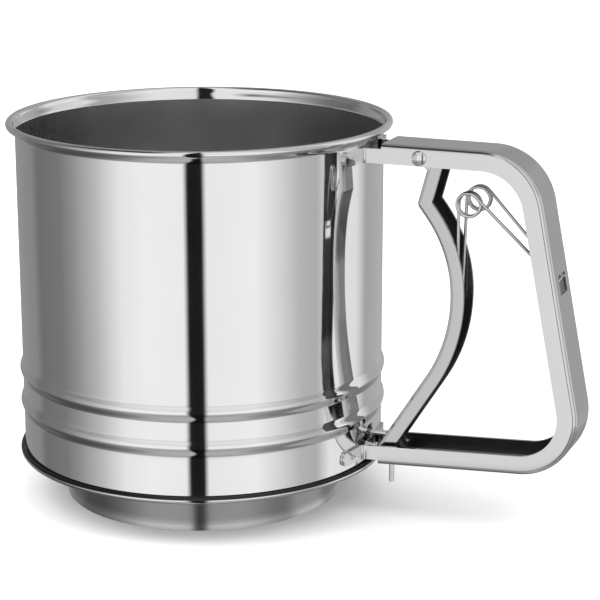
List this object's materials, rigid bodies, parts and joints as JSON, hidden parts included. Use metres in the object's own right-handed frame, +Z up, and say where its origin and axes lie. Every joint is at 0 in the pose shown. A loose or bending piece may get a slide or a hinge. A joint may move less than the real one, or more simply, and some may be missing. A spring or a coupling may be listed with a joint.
{
  "type": "flour sifter",
  "caption": "Round sheet-metal flour sifter: a cup over a woven mesh, with an agitator that a sprung squeeze trigger in the handle swings.",
  "frame": {"origin": "on the cup's axis, at the floor: the centre of the outlet at the bottom of the foot", "axes": "+Z up along the cup's axis, +X from the cup's axis towards the handle"},
  "size_m": [0.1649, 0.107, 0.1072],
  "materials": {
    "cup": "mirror-polished stainless steel",
    "base": "mirror-polished stainless steel",
    "handle": "polished stainless steel",
    "trigger": "polished stainless steel",
    "inner_sheet": "plain rolled stainless sheet",
    "mesh": "woven stainless wire",
    "rivets": "polished, cold headed",
    "spring_wire": "drawn spring wire",
    "link_wire": "drawn wire"
  },
  "bodies": {
    "root": {"cup_body": "cup", "base_pan": "base", "support_bar": "inner_sheet", "sieve_mesh": "mesh", "mesh_clamp_ring": "inner_sheet", "mesh_washer": "inner_sheet", "centre_rivet": "rivets", "top_washer": "inner_sheet", "handle": "handle", "trigger_rivet": "rivets", "pivot_washers": "inner_sheet", "trigger_spring": "spring_wire"},
    "trigger": {"trigger": "trigger"},
    "link": {"link_rod": "link_wire"},
    "agitator": {"agitator_bush": "inner_sheet", "agitator_plate": "inner_sheet", "agitator_blade_1": "inner_sheet", "agitator_blade_2": "inner_sheet", "agitator_blade_3": "inner_sheet", "agitator_blade_4": "inner_sheet"}
  },
  "joints": [
    {"name": "trigger_squeeze", "type": "hinge", "parent": "root", "child": "trigger", "pos_m": [0.0666, 0, 0.1014], "axis": [0, -1, 0], "range_deg": [0, 14], "stiffness_Nm_per_rad": 0.3, "springref_deg": -34.38, "deforming": ["trigger_spring"]},
    {"name": "agitator_turn", "type": "hinge", "parent": "root", "child": "agitator", "pos_m": [0, 0, 0.0155], "axis": [0, 0, 1], "range_deg": [0, 52.5]},
    {"name": "link_swivel", "type": "hinge", "parent": "trigger", "child": "link", "pos_m": [0.0576, 0, 0.0193], "axis": [0, 1, 0], "range_deg": [0, 14.2]}
  ],
  "couplings": [
    {"joint": "agitator_turn", "follows": "trigger_squeeze", "ratio": 3.6887},
    {"joint": "link_swivel", "follows": "trigger_squeeze", "ratio": 1}
  ]
}
